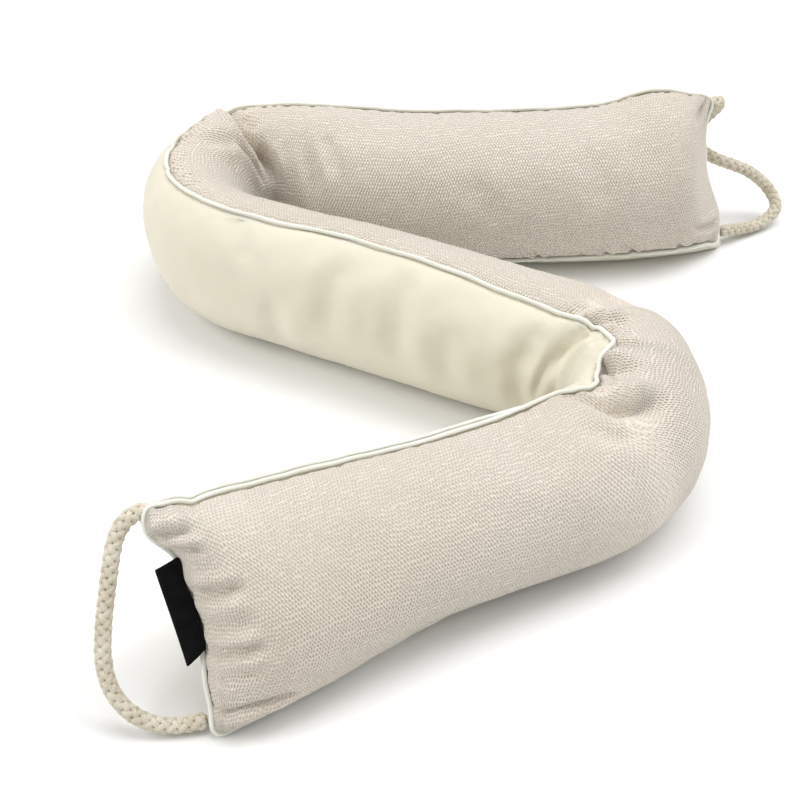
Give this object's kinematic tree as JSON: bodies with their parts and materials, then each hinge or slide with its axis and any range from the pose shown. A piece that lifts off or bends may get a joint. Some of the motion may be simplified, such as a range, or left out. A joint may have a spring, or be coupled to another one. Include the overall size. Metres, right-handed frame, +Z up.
{
  "type": "draught excluder",
  "caption": "Long stuffed draught excluder lying in a zigzag on its seam, in two cloths with piping, a rope handle at each end and a woven tab.",
  "frame": {"origin": "on the floor under the centre of the cushion's and its piping's bounding box, the rope handles left out", "axes": "+Z up from the floor; +X along the three legs of the zigzag, away from the open side of the first bend; +Y from the near leg, which carries the tab, towards the far leg"},
  "size_m": [0.436, 0.4883, 0.1039],
  "materials": {
    "front_fabric": "matte textured knit in a warm greige",
    "back_fabric": "matte smooth cotton in cream",
    "piping": "smooth covered cord in pale ivory",
    "rope": "twisted cotton rope in natural beige",
    "label": "fine woven tab in black, left bare"
  },
  "bodies": {
    "root": {"cushion": "front_fabric", "piping": "piping", "handle_near": "rope", "handle_far": "rope", "label": "label"}
  },
  "joints": []
}
